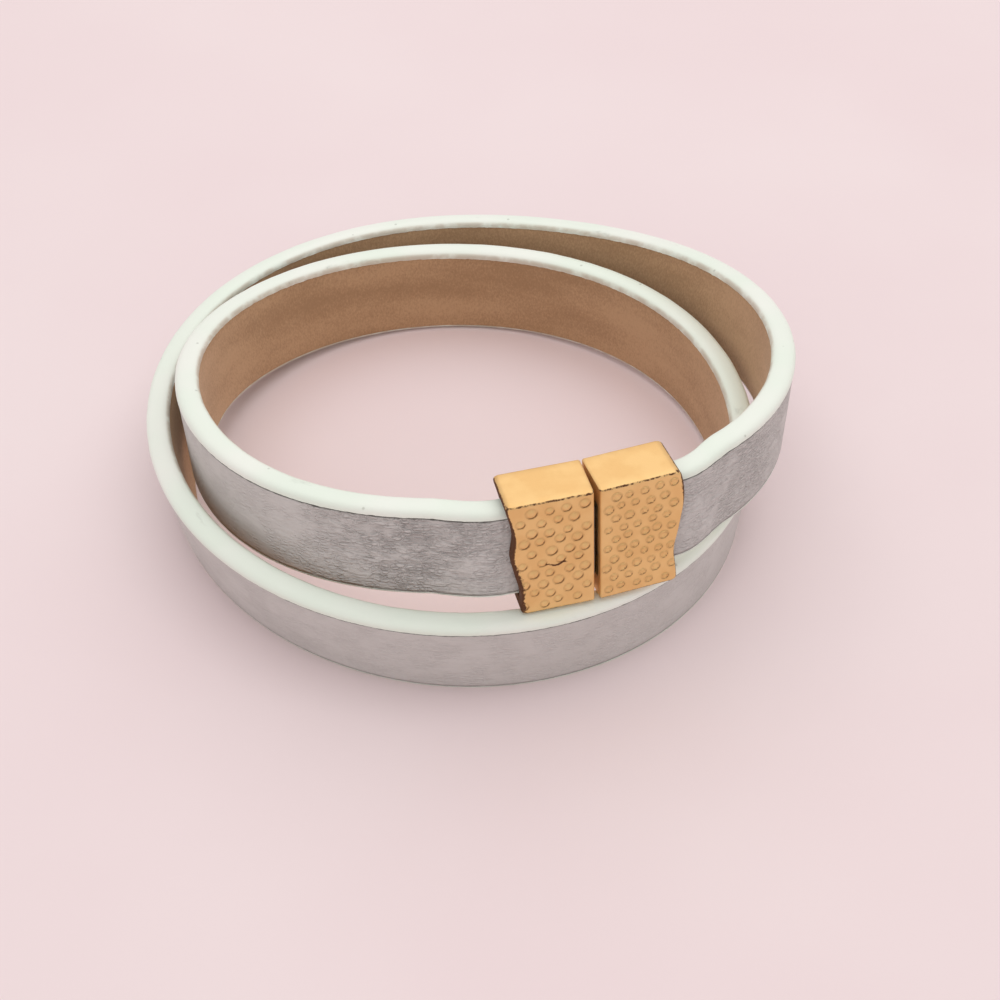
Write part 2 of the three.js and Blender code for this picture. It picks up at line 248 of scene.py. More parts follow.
right_end, left_end = HALF_LENGTH["right"], -HALF_LENGTH["left"]
right_slot = slot_frames("right", right_end - STRAP_END_DEPTH, right_end + MOUTH_RUN)
left_slot = slot_frames("left", left_end - MOUTH_RUN, left_end + STRAP_END_DEPTH)
route_steps = round((ROUTE_END - ROUTE_START) / ROUTE_TURN)
route_angles = np.linspace(ROUTE_START, ROUTE_END, route_steps + 1)
route = route_frames(route_angles)
parts = [
    right_slot,
    bridge(end_of(right_slot, -1), end_of(route, 0)),
    route,
    bridge(end_of(route, -1), end_of(left_slot, 0)),
    left_slot,
]
middle, inward, up = (np.concatenate(arrays) for arrays in zip(*parts))
middle = middle + SHIFT
distance = np.concatenate([[0], np.cumsum(np.linalg.norm(np.diff(middle, axis=0), axis=1))])
first_on_route = len(right_slot[0]) + len(parts[1][0])
print(len(middle), "frames along", round(distance[-1], 1), "mm of strap")


def frame_index(angle):
    return first_on_route + int(np.abs(route_angles - angle).argmin())


# %% [markdown]
# ## A small language for materials
# A shader is a graph of nodes, and reading one written as links is hard. This class wraps a
# socket so that maths on it is written as ordinary expressions, and one method makes every other
# node: its type, its settings first, then the values or links of its sockets.

# %% Shader sockets as expressions
def add_node(tree, kind, settings, sockets):
    """A new node: its settings, then its sockets. i0 is socket 0, and _ stands for a space."""
    made = tree.nodes.new(kind)
    for name, value in (settings or {}).items():
        setattr(made, name, value)
    for name, value in sockets.items():
        by_number = name[0] == "i" and name[1:].isdigit()
        target = made.inputs[int(name[1:]) if by_number else name.replace("_", " ")]
        if isinstance(value, bpy.types.NodeSocket):
            tree.links.new(value, target)
        else:
            target.default_value = value
    return made


class Shade:
    def __init__(self, tree, socket):
        self.tree, self.socket = tree, socket

    def node(self, kind, settings=None, out=0, **sockets):
        plain = {k: v.socket if isinstance(v, Shade) else v for k, v in sockets.items()}
        return Shade(self.tree, add_node(self.tree, kind, settings, plain).outputs[out])

    def math(self, operation, other=0.0):
        return self.node("ShaderNodeMath", {"operation": operation}, i0=self, i1=other)

    def __add__(self, other):
        return self.math("ADD", other)

    def __mul__(self, other):
        return self.math("MULTIPLY", other)

    def __sub__(self, other):
        return self.math("SUBTRACT", other)

    def __rsub__(self, other):
        return self.node("ShaderNodeMath", {"operation": "SUBTRACT"}, i0=other, i1=self)

    __radd__ = __add__
    __rmul__ = __mul__

    def between(self, low, high):
        """0 below low, 1 above high and smooth between them."""
        settings = {"interpolation_type": "SMOOTHSTEP"}
        return self.node("ShaderNodeMapRange", settings, Value=self, From_Min=low, From_Max=high)

    def mix(self, first, second):
        """Colour first where this is 0, and colour second where it is 1."""
        settings = {"data_type": "RGBA"}
        return self.node("ShaderNodeMix", settings, out=2, i0=self, i6=first, i7=second)

    def noise(self, scale, detail=2.0, rough=0.5, distortion=0.0):
        return self.node(
            "ShaderNodeTexNoise",
            Vector=self, Scale=scale, Detail=detail, Roughness=rough, Distortion=distortion,
        )

    def cells(self, scale, feature="F1"):
        return self.node("ShaderNodeTexVoronoi", {"feature": feature}, Vector=self, Scale=scale)

    def stretched(self, x, y, z):
        return self.node("ShaderNodeVectorMath", {"operation": "MULTIPLY"}, i0=self, i1=(x, y, z))

    def axis(self, name):
        return self.node("ShaderNodeSeparateXYZ", out="XYZ".index(name), Vector=self)

    def bump(self, strength, depth, normal=None):
        sockets = {"Height": self, "Strength": strength, "Distance": depth * MM}
        if normal:
            sockets["Normal"] = normal
        return self.node("ShaderNodeBump", **sockets)


def new_material(name):
    material = bpy.data.materials.new(name)
    material.use_nodes = True
    tree = material.node_tree
    shader = tree.nodes["Principled BSDF"]
    return material, Shade(tree, None), shader


def feed(shader, **values):
    tree = shader.id_data
    for name, value in values.items():
        target = shader.inputs[name.replace("_", " ")]
        if isinstance(value, Shade):
            tree.links.new(value.socket, target)
        else:
            target.default_value = value


# %% [markdown]
# ## White pebbled leather
# The outer face is soft white leather: small pebbles about twice as long as they are high, finer
# pores in them, long creases where the strap was bent most, next to the clasp, and a dirty line
# along the upper edge where it meets the paint. The furrows, creases and ripples are darkened in
# the colour as painted shade, and the lower edge gets a thin painted contact shadow. The pattern
# must follow the strap round its turns, so it reads an attribute that holds the place on the
# unrolled strap: distance along it, height across it and depth through it, in metres.

# %% Leather material
STRAP_PLACE = "strap_place"
LEATHER_HALF_HEIGHT = 4.25
LEATHER_FOOT = 4.7
SEAM_LINE = (0.27, 0.12)
CONTACT_SHADOW_LINE = (0.08, 0.4)


def strap_place(make):
    return make.node("ShaderNodeAttribute", {"attribute_name": STRAP_PLACE}, out=1)


def leather_material():
    material, make, shader = new_material("white_pebbled_leather")
    place = strap_place(make)
    across = place.axis("Y")
    wavy = place.noise(700, 2)
    pebbles = place.stretched(0.55, 1.25, 1).cells(2300, "DISTANCE_TO_EDGE")
    furrows = 1 - pebbles.between(0.0, 0.3)
    pores = place.noise(7000, 3)
    ripples = place.stretched(0.16, 1, 1).noise(1900, 4, 0.6)
    creased = make.node("ShaderNodeAttribute", {"attribute_name": "creased"}, out=2)
    creases = place.stretched(0.3, 1, 1).noise(1500, 3, 0.55, 0.8).between(0.42, 0.6)
    blotches = place.noise(160, 3)
    grain = furrows * (0.25 + creased * 0.9) * place.noise(420, 2).between(0.3, 0.6)
    above = across + (place.noise(1300, 3) - 0.5) * 0.22 * MM
    seam_start, seam_full = ((LEATHER_HALF_HEIGHT - below) * MM for below in SEAM_LINE)
    seam = above.between(seam_start, seam_full)
    # The foot of the leather gets a thin painted contact shadow.
    foot_full, foot_end = ((above_foot - LEATHER_FOOT) * MM for above_foot in CONTACT_SHADOW_LINE)
    contact_shadow = 1 - across.between(foot_full, foot_end)
    # A dark, dirty line at the upper seam and a painted contact shadow at the foot.
    seam_dirt_and_contact_shadow = seam * (0.7 + 0.3 * wavy.between(0.35, 0.6)) + contact_shadow * 0.55
    white = blotches.between(0.3, 0.7).mix((0.62, 0.6, 0.575, 1), (0.65, 0.63, 0.605, 1))
    # Furrows, creases and ripples are darkened in the colour: painted shade.
    painted_furrow_shade = grain * 0.26 + creases * creased * 0.16 + ripples.between(0.5, 0.68) * 0.08
    shaded = painted_furrow_shade.mix(white, (0.3, 0.27, 0.26, 1))
    color = seam_dirt_and_contact_shadow.mix(shaded, (0.1, 0.095, 0.08, 1))
    height = 1 - (grain * 0.9 + creases * creased * 0.8 + ripples * 0.5 + pores * 0.12 + seam_dirt_and_contact_shadow)
    feed(shader, Base_Color=color, Roughness=0.42 + 0.14 * blotches, Normal=height.bump(1.0, 0.16))
    shader.inputs["Specular IOR Level"].default_value = 0.4
    return material


# %% [markdown]
# ## Edge paint, lining, core and glue
# Edge paint goes on wet in several coats, so it is smooth and satin, waves a little, and picks up
# grey smudges and dots of dirt. Towards the skin it takes on the lining's tan in patches. The
# lining is a short-napped microfibre: rough, with fibres that catch light at a low angle, which
# the shader's sheen gives. The core shows only inside the slots.

# %% Edge paint material
SKIN_SIDE_START, SKIN_SIDE_FULL = 0.85, 1.12


def paint_material():
    material, make, shader = new_material("cream_edge_paint")
    place = strap_place(make)
    coats = place.stretched(0.35, 1, 1).noise(500, 4)
    tint = place.noise(90, 2).between(0.35, 0.65)
    cream = tint.mix((0.86, 0.94, 0.83, 1), (0.92, 0.95, 0.87, 1))
    smudges = place.stretched(0.5, 1, 1).noise(330, 4, 0.6).between(0.66, 0.8)
    dots = 1 - place.cells(420).between(0.03, 0.09)
    dirt_and_painted_shade = (smudges * 0.45 + dots * 0.4).math("MINIMUM", 0.7)
    depth = place.axis("Z")
    skin_side = depth.between(SKIN_SIDE_START * MM, SKIN_SIDE_FULL * MM)
    skin_side = skin_side * place.noise(600, 3).between(0.25, 0.6)
    stained = (skin_side * 0.55).mix(cream, (0.5, 0.38, 0.27, 1))
    color = dirt_and_painted_shade.mix(stained, (0.3, 0.31, 0.25, 1))
    feed(shader, Base_Color=color, Roughness=0.3 + coats * 0.2, Normal=coats.bump(0.35, 0.12))
    return material


# %% Lining, core and glue materials
def lining_material():
    material, make, shader = new_material("tan_suede_lining")
    place = strap_place(make)
    nap = place.stretched(1, 0.6, 1).noise(5200, 3, 0.65)
    brushed = place.stretched(0.3, 1, 1).noise(260, 3)
    tone = (nap * 0.5 + brushed * 0.5).between(0.35, 0.65)
    color = tone.mix((0.4, 0.24, 0.125, 1), (0.56, 0.355, 0.2, 1))
    feed(shader, Base_Color=color, Roughness=0.9, Normal=nap.bump(0.6, 0.06))
    shader.inputs["Sheen Weight"].default_value = 0.35
    shader.inputs["Sheen Roughness"].default_value = 0.5
    shader.inputs["Sheen Tint"].default_value = (0.9, 0.7, 0.55, 1)
    return material


def core_material():
    material, make, shader = new_material("raw_fibre_core")
    place = strap_place(make)
    fibres = place.stretched(0.25, 1, 1).noise(2600, 4, 0.7)
    color = fibres.between(0.35, 0.65).mix((0.2, 0.14, 0.09, 1), (0.36, 0.27, 0.19, 1))
    feed(shader, Base_Color=color, Roughness=0.92, Normal=fibres.bump(0.7, 0.08))
    return material


def object_place(make):
    return make.node("ShaderNodeTexCoord", out=3)


def glue_material():
    material, make, shader = new_material("set_clear_cement")
    place = object_place(make)
    flow = place.noise(700, 3)
    color = flow.mix((0.62, 0.56, 0.42, 1), (0.74, 0.69, 0.58, 1))
    feed(shader, Base_Color=color, Roughness=0.25 + flow * 0.3, Normal=flow.bump(0.4, 0.1))
    return material


# %% [markdown]
# ## Plated metals
# The halves are zinc castings under rose gold. Plating is thin: it wears off at the edges and the
# outer ends, where a dull brown shows, and the nick beside every hammer mark is darkened with
# dirt and painted shade. One attribute says how far a point lies in a nick and another how worn
# it is, and both darken the metal.

# %% Rose gold material
def gold_material():
    material, make, shader = new_material("worn_rose_gold_plating")
    place = object_place(make)
    hollow = make.node("ShaderNodeAttribute", {"attribute_name": "hollow"}, out=2)
    wear = make.node("ShaderNodeAttribute", {"attribute_name": "wear"}, out=2)
    cloudy = place.noise(420, 3)
    grit = place.noise(2600, 4, 0.7)
    gold = cloudy.between(0.35, 0.65).mix((0.86, 0.555, 0.235, 1), (0.91, 0.62, 0.28, 1))
    # Dirt and painted shade darken the nick below each hammer mark.
    dirt_and_painted_shade = (hollow * (0.5 + grit)).math("MINIMUM", 0.92)
    gold_with_nick_dirt_and_shade = dirt_and_painted_shade.mix(gold, (0.16, 0.065, 0.02, 1))
    bare = (wear * 1.35 + grit * 1.5 - 1.25).between(0.0, 0.3)
    color = bare.mix(gold_with_nick_dirt_and_shade, (0.13, 0.05, 0.02, 1))
    satin = 0.46 + cloudy * 0.12 + bare * 0.2 + dirt_and_painted_shade * 0.2
    relief = (grit * 0.5 + place.noise(9000, 2) * 0.2).bump(0.5, 0.06)
    metal = 0.86 - bare * 0.4
    feed(shader, Base_Color=color, Roughness=satin, Metallic=metal, Normal=relief)
    return material


# %% Nickel material
def nickel_material():
    material, make, shader = new_material("nickel_plated_magnet")
    place = object_place(make)
    ground = place.stretched(1, 1, 0.08).noise(3500, 3)
    color = ground.mix((0.52, 0.51, 0.48, 1), (0.66, 0.65, 0.62, 1))
    satin = 0.22 + ground * 0.2
    feed(shader, Base_Color=color, Metallic=1.0, Roughness=satin, Normal=ground.bump(0.2, 0.02))
    return material


LEATHER = leather_material()
EDGE_PAINT = paint_material()
LINING = lining_material()
CORE = core_material()
GLUE = glue_material()
ROSE_GOLD = gold_material()
NICKEL = nickel_material()
print("materials:", [m.name for m in bpy.data.materials if m.users or m.use_nodes])


# %% [markdown]
# ## Outlines of the layers
# Every layer is an outline that is carried along the frames: x is towards the skin and y towards
# the upper edge. The leather and the lining have softened corners, because cut leather is never
# sharp, and the paint is a bead over the cut edges. The upper bead comes further down and swells
# past the faces, while the lower one is slim and just inside them, so the layers reach further
# down than up.

# %% Outlines in millimetres
HALF_THICK = STRAP_THICKNESS / 2
PAINT_BASE = {1: 4.27, -1: 4.74}
PAINT_SWELL = {1: 0.07, -1: -0.02}
PAINT_LAP = 0.12
FLANK_POWER, CROWN_POWER = 0.75, 0.8


def softened(low, high, corner, rows, columns):
    """A tall rectangle with rounded corners, counter-clockwise from its lower left."""
    turn = np.linspace(0, np.pi / 2, 4)
    centres = [
        (low + corner, corner - LEATHER_FOOT, np.pi),
        (high - corner, corner - LEATHER_FOOT, 1.5 * np.pi),
        (high - corner, LEATHER_HALF_HEIGHT - corner, 0.0),
        (low + corner, LEATHER_HALF_HEIGHT - corner, 0.5 * np.pi),
    ]
    steps = [columns, rows, columns, rows]
    points = []
    for k, (x, y, start) in enumerate(centres):
        arc = [(x + corner * math.cos(start + t), y + corner * math.sin(start + t)) for t in turn]
        points += arc
        nx, ny, nstart = centres[(k + 1) % 4]
        after = (nx + corner * math.cos(nstart), ny + corner * math.sin(nstart))
        for share in np.linspace(0, 1, steps[k] + 1)[1:-1]:
            points.append(tuple(np.array(arc[-1]) * (1 - share) + np.array(after) * share))
    return np.array(points)


def bead(side):
    """The painted edge: flat against the laminate, and a low crown that swells past the faces."""
    turn = np.linspace(0, np.pi, 19)
    half, base_y = HALF_THICK + PAINT_SWELL[side], PAINT_BASE[side]
    crown = STRAP_WIDTH / 2 - base_y
    x = half * np.sign(np.cos(turn)) * np.abs(np.cos(turn)) ** FLANK_POWER
    y = base_y + crown * np.sin(turn) ** CROWN_POWER
    base_x = np.linspace(-half, half, 6)[1:-1]
    base = np.stack([base_x, np.full(len(base_x), base_y - PAINT_LAP)], 1)
    points = np.concatenate([np.stack([x, y], 1), base])
    if side < 0:
        points = (points * [1, -1])[::-1]
    return points


LEATHER_INSIDE = -HALF_THICK + LEATHER_THICKNESS
LINING_OUTSIDE = HALF_THICK - LINING_THICKNESS
CORE_FACES = (LEATHER_INSIDE + GLUE_LINE / 2, LINING_OUTSIDE - GLUE_LINE / 2)
LAYER_OUTLINES = {
    "leather": softened(-HALF_THICK, LEATHER_INSIDE, corner=0.16, rows=30, columns=2),
    "core": softened(*CORE_FACES, corner=0.05, rows=2, columns=2),
    "lining": softened(LINING_OUTSIDE, HALF_THICK, corner=0.12, rows=16, columns=2),
    "top_edge_paint": bead(1),
    "bottom_edge_paint": bead(-1),
}


# %% [markdown]
# ## Sweeping a layer
# The sweep lays the outline at each frame of a stretch and joins neighbours with quads. Small
# waves are added on the way: the painted bead wanders, and the leather bulges and creases near
# the clasp. The same waves are worked out from the distance along the whole strap, so pieces
# still meet exactly.

# %% Waves and creases along the strap
def wander(at, wavelength, layers=3, seed=0):
    """A smooth random wave along a distance, between about -1 and 1."""
    pick = np.random.default_rng(seed)
    total = np.zeros_like(at, dtype=float)
    for k in range(layers):
        phase = pick.uniform(0, 2 * np.pi, 3)
        bends = pick.uniform(0.7, 1.4, 3)
        for p, b in zip(phase, bends):
            total += np.sin(2 * np.pi * at * b * 2**k / wavelength + p) / 3 / 1.6**k
    return total / 1.6


strap_end = distance[-1]
CREASES_BEFORE_END, END_REACH = 12, 9
CREASES_AFTER_START, START_REACH, START_SHARE = 14, 12, 0.6
CREASED_EVERYWHERE = 0.12
LIP_HEIGHT = 0.12


def creased_share(at):
    """How creased the leather is: most beside the clasp, where the strap is bent in use."""
    near_left_half = np.exp(-(((strap_end - CREASES_BEFORE_END - at) / END_REACH) ** 2))
    near_right_half = START_SHARE * np.exp(-(((at - CREASES_AFTER_START) / START_REACH) ** 2))
    return np.clip(near_left_half + near_right_half + CREASED_EVERYWHERE, 0, 1)


def shape_of(layer, at, ring):
    """Extra movement of a ring's points, in millimetres, as (x, y) pairs at every frame."""
    x = np.repeat(ring[None, :, 0], len(at), 0)
    y = np.repeat(ring[None, :, 1], len(at), 0)
    s = at[:, None]
    if layer == "leather":
        outer = np.clip((-HALF_THICK + 0.3 - x) / 0.3, 0, 1)
        inside = np.clip((LEATHER_HALF_HEIGHT - np.abs(y)) / 0.8, 0, 1)
        folds = wander(s * 0.35 + y * 2.2, 2.6, 3, 3) * creased_share(s)
        soft = wander(s + y * 0.7, 11, 2, 5)
        x = x + outer * inside * (0.05 * folds + 0.03 * soft)
    if layer == "top_edge_paint" or layer == "bottom_edge_paint":
        side = 1 if layer[0] == "t" else -1
        seed = 11 if side > 0 else 12
        lip = np.clip((PAINT_BASE[side] + LIP_HEIGHT - np.abs(y)) / LIP_HEIGHT, 0, 1)
        y = y - side * lip * (0.05 * wander(s, 1.5, 3, seed) + 0.03)
        x = x + 0.03 * wander(s, 6, 2, seed + 5) * (1 - lip)
    return x, y


# %% Mesh of one stretch
STRAP_SHARP = math.radians(50)


def swept(name, layer, start, end, material):
    ring = LAYER_OUTLINES[layer]
    at = distance[start:end + 1]
    x, y = shape_of(layer, at, ring)
    m, i, u = middle[start:end + 1], inward[start:end + 1], up[start:end + 1]
    points = m[:, None] + x[..., None] * i[:, None] + y[..., None] * u[:, None]
    rings, count = x.shape
    grid = np.arange(rings * count).reshape(rings, count)
    a, b = grid[:-1], grid[1:]
    quads = np.stack([a, np.roll(a, -1, 1), np.roll(b, -1, 1), b], -1).reshape(-1, 4)
    caps = [points[0].mean(0), points[-1].mean(0)]
    points = np.concatenate([points.reshape(-1, 3), caps])
    hub = rings * count
    first, last = grid[0], grid[-1]
    fans = np.concatenate([
        np.stack([np.roll(first, -1), first, np.full(count, hub)], 1),
        np.stack([last, np.roll(last, -1), np.full(count, hub + 1)], 1),
    ])
    mesh = bpy.data.meshes.new(name)
    mesh.from_pydata((points * MM).tolist(), [], quads.tolist() + fans.tolist())
    place = np.stack([np.repeat(at, count), y.ravel(), x.ravel()], 1)
    place = np.concatenate([place, [[at[0], 0, 0], [at[-1], 0, 0]]])
    mesh.attributes.new(STRAP_PLACE, "FLOAT_VECTOR", "POINT").data.foreach_set(
        "vector", (place * MM).astype(np.float32).ravel()
    )
    creased = mesh.attributes.new("creased", "FLOAT", "POINT")
    creased.data.foreach_set("value", creased_share(place[:, 0]).astype(np.float32))
    mesh.polygons.foreach_set("use_smooth", [True] * len(quads) + [False] * len(fans))
    mesh.set_sharp_from_angle(angle=STRAP_SHARP)
    mesh.materials.append(material)
    mesh.update()
    return placed(name, mesh)


# %% [markdown]
# ## Four stretches of strap
# The outer wrap flexes open on three hinges at 120, 180 and 240 degrees. A cut in the leather
# there would tear open as it moves, so the cuts lie half-way between the hinges and well past the
# last one instead. The last stretch, which goes on to the inner wrap, doesn't move.

# %% Stretches and layers
FIRST_CUT, SECOND_CUT, THIRD_CUT = (frame_index(angle) for angle in (150, 210, 300))
STRETCHES = [
    ("right", 0, FIRST_CUT, ("clasp_side", "rear_right", 120)),
    ("rear_right", FIRST_CUT, SECOND_CUT, ("rear_right", "rear_left", 180)),
    ("rear_left", SECOND_CUT, THIRD_CUT, ("rear_left", "wrap", 240)),
    ("main", THIRD_CUT, len(middle) - 1, None),
]
LAYERS = {
    "leather": (LEATHER, "white_leather"),
    "core": (CORE, "core_board"),
    "lining": (LINING, "tan_lining"),
    "top_edge_paint": (EDGE_PAINT, "edge_paint"),
    "bottom_edge_paint": (EDGE_PAINT, "edge_paint"),
}
BEND_REACH = 15
BEND_HEIGHT = 0.005


def route_point(angle):
    return tuple(middle[frame_index(angle)] * MM * [1, 1, 0] + [0, 0, BEND_HEIGHT])


for stretch, start, end, bend in STRETCHES:
    for layer, (material, slot) in LAYERS.items():
        piece = swept(f"strap_{stretch}_{layer}", layer, start, end, material)
        if bend:
            body_a, body_b, angle = bend
            route_point(angle - BEND_REACH)
            route_point(angle + BEND_REACH)
            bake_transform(piece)
        else:
            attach(piece, "wrap")
        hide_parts(f"{stretch}_{layer}")
    print(stretch, "stretch:", end - start + 1, "frames")

# %% [markdown]
# ## The cast halves
# Each half is a block with softened edges and a wavy outer end, hollowed by a slot for the strap
# and a pocket for the magnet. A cube with a bevel can't follow the wavy end, so the front is laid
# out as a grid of rows, each as long as the casting is there, and the same grid makes the back.
# Rings of points round the edge join the two, and two boxes are then cut away.

# %% Outline of a half
WAVES = {
    "right": [
        [0, 0], [0.14, -0.15], [0.28, -0.34], [0.5, 0.1], [0.78, 0.5], [0.9, 0.35], [1, 0.05],
    ],
    "left": [
        [0, -0.45], [0.15, -0.6], [0.35, -0.15], [0.5, 0.15], [0.7, -0.1], [0.88, 0.3], [1, 0.65],
    ],
}
OUTER_CORNER = 0.55
SEAM_CORNER = 0.16
EDGE_ROUND = 0.28
FACE_COLUMNS = 64
FACE_ROWS = 104
ROW_CROWDING = 0.035
LEAST_SEAM_CORNER, LEAST_OUTER_CORNER = 0.02, 0.05
ROUND_LOOPS = 4
SIDE_LOOPS = 8


def wave_at(side, share):
    """How far the end stands out at a share of the height, on a smooth curve through the points."""
    points = np.array(WAVES[side], float)
    slopes = np.gradient(points[:, 1], points[:, 0])
    k = np.clip(np.searchsorted(points[:, 0], share) - 1, 0, len(points) - 2)
    width = points[k + 1, 0] - points[k, 0]
    t = np.clip((share - points[k, 0]) / width, 0, 1)
    h00, h10 = 2 * t**3 - 3 * t**2 + 1, t**3 - 2 * t**2 + t
    h01, h11 = 3 * t**2 - 2 * t**3, t**3 - t**2
    from_values = h00 * points[k, 1] + h10 * width * slopes[k]
    return from_values + h01 * points[k + 1, 1] + h11 * width * slopes[k + 1]


def corner_cut(from_edge, radius):
    gap = np.clip(radius - from_edge, 0, radius)
    return radius - np.sqrt(np.clip(radius**2 - gap**2, 0, None))


def face_grid(side, inset):
    """Grid of (x, z) points, in millimetres from the seam face and the clasp's axis."""
    even = np.linspace(0, 1, FACE_ROWS + 1)
    share = even - ROW_CROWDING * np.sin(4 * np.pi * even) / 2
    half = CLASP_HEIGHT / 2 - inset
    z = (share * 2 - 1) * half
    from_edge = half - np.abs(z)
    out = HALF_LENGTH[side] + wave_at(side, (z / CLASP_HEIGHT) + 0.5)
    low = inset + corner_cut(from_edge, max(SEAM_CORNER - inset, LEAST_SEAM_CORNER))
    high = out - inset - corner_cut(from_edge, max(OUTER_CORNER - inset, LEAST_OUTER_CORNER))
    u = np.linspace(0, 1, FACE_COLUMNS + 1)
    x = low[:, None] + (high - low)[:, None] * u
    return np.stack([x, np.repeat(z[:, None], FACE_COLUMNS + 1, 1)], -1)


def rim_of(grid):
    """The grid's border as one loop, counter-clockwise seen from the front with x to the right."""
    return np.concatenate([grid[0, :-1], grid[:-1, -1], grid[-1, :0:-1], grid[:0:-1, 0]])


# %% Mesh of a half
def casting(side):
    sign = 1 if side == "right" else -1
    bend = np.linspace(0, np.pi / 2, ROUND_LOOPS + 1)
    depth = CLASP_DEPTH / 2
    front = face_grid(side, EDGE_ROUND)
    rows, columns = front.shape[:2]
    layers = [np.concatenate([front, np.full((rows, columns, 1), -depth)], -1).reshape(-1, 3)]
    loops = [rim_of(np.arange(rows * columns).reshape(rows, columns))]
    count = rows * columns

    def add_loop(inset, y):
        nonlocal count
        rim = rim_of(face_grid(side, inset))
        layers.append(np.concatenate([rim, np.full((len(rim), 1), y)], 1))
        loops.append(np.arange(count, count + len(rim)))
        count += len(rim)

    for t in bend[1:]:
        add_loop(EDGE_ROUND * (1 - math.sin(t)), -depth + EDGE_ROUND * (1 - math.cos(t)))
    for y in np.linspace(-depth + EDGE_ROUND, depth - EDGE_ROUND, SIDE_LOOPS + 1)[1:]:
        add_loop(0.0, y)
    for t in bend[::-1][1:-1]:
        add_loop(EDGE_ROUND * (1 - math.sin(t)), depth - EDGE_ROUND * (1 - math.cos(t)))
    back = np.arange(count, count + rows * columns).reshape(rows, columns)
    layers.append(np.concatenate([front, np.full((rows, columns, 1), depth)], -1).reshape(-1, 3))
    loops.append(rim_of(back))
    flat = np.arange(rows * columns).reshape(rows, columns)

    def quads_of(g):
        return np.stack([g[:-1, :-1], g[:-1, 1:], g[1:, 1:], g[1:, :-1]], -1).reshape(-1, 4)

    faces = [quads_of(flat), quads_of(back)[:, ::-1]]
    for near, far in zip(loops, loops[1:]):
        faces.append(np.stack([near, far, np.roll(far, -1), np.roll(near, -1)], 1))
    points = np.concatenate(layers)[:, [0, 2, 1]]
    faces = np.concatenate(faces)
    if sign < 0:
        points = points * [-1, 1, 1]
        faces = faces[:, ::-1]
    mesh = bpy.data.meshes.new(f"{side}_casting")
    mesh.from_pydata((points * MM).tolist(), [], faces.tolist())
    mesh.update()
    return placed(f"{side}_cast_half", mesh)


# %% [markdown]
# ## Cutting the slot and the pocket
# The Boolean modifier takes one solid from another. The cutters are plain boxes that reach past
# the surface, so that no two faces lie on each other. The result is turned into a plain mesh at
# once.

# %% Cutters
POCKET_DEPTH = {"right": 3.0, "left": 1.75}
MAGNET_SIZE = (3.0, 8.0)
MAGNET_CLEARANCE = 0.2
PAST_END = 3.0
PAST_SEAM = 1.0


def cutter(low, high):
    corners = list(itertools.product(*zip(low, high)))
    faces = [(0, 1, 3, 2), (4, 6, 7, 5), (0, 4, 5, 1), (2, 3, 7, 6), (0, 2, 6, 4), (1, 5, 7, 3)]
    mesh = bpy.data.meshes.new("cutter")
    mesh.from_pydata([tuple(np.array(c) * MM) for c in corners], [], faces)
    return placed("cutter", mesh)


def as_plain_mesh(piece):
    """Replaces a piece's mesh by what its modifiers make of it, and removes them."""
    graph = bpy.context.evaluated_depsgraph_get()
    made = bpy.data.meshes.new_from_object(piece.evaluated_get(graph), depsgraph=graph)
    piece.modifiers.clear()
    piece.data = made
    return piece


def cut_out(piece, low, high):
    tool = cutter(low, high)
    cut = piece.modifiers.new("cut", "BOOLEAN")
    cut.operation, cut.object, cut.solver = "DIFFERENCE", tool, "EXACT"
    as_plain_mesh(piece)
    bpy.data.objects.remove(tool)


def hollowed(side):
    piece = casting(side)
    sign = 1 if side == "right" else -1
    slot_reach = (HALF_LENGTH[side] - SLOT_DEPTH, HALF_LENGTH[side] + PAST_END)
    slot_size = np.array([STRAP_THICKNESS, STRAP_WIDTH]) + 2 * SLOT_CLEARANCE
    pocket_size = np.array(MAGNET_SIZE) + 2 * MAGNET_CLEARANCE
    for reach, size in ((slot_reach, slot_size), ((-PAST_SEAM, POCKET_DEPTH[side]), pocket_size)):
        low_x, high_x = sorted(x * sign for x in reach)
        half_depth, half_height = size / 2
        cut_out(piece, (low_x, -half_depth, -half_height), (high_x, half_depth, half_height))
    print(side, "half:", len(piece.data.polygons), "faces after its slot and pocket are cut")
    return piece


# %% [markdown]
# ## Hammer marks
# The front of each half is covered in marks about a millimetre across, in staggered rows that are
# never quite even. Modelling them one by one would be slow, and a bump map wouldn't change the
# outline, so a Geometry Nodes tree scatters the centres and moves the front's points by their
# distance to the nearest one. The left casting has domes and the right one has rings, and all of
# them have a nick below.

# %% Tree that hammers a front
SMALLEST_MARK, LARGEST_MARK = 0.82, 1.12
MARK_SIZE_SEED = 31
NICK_DIRECTION = (0.42, 0.0, -0.9)


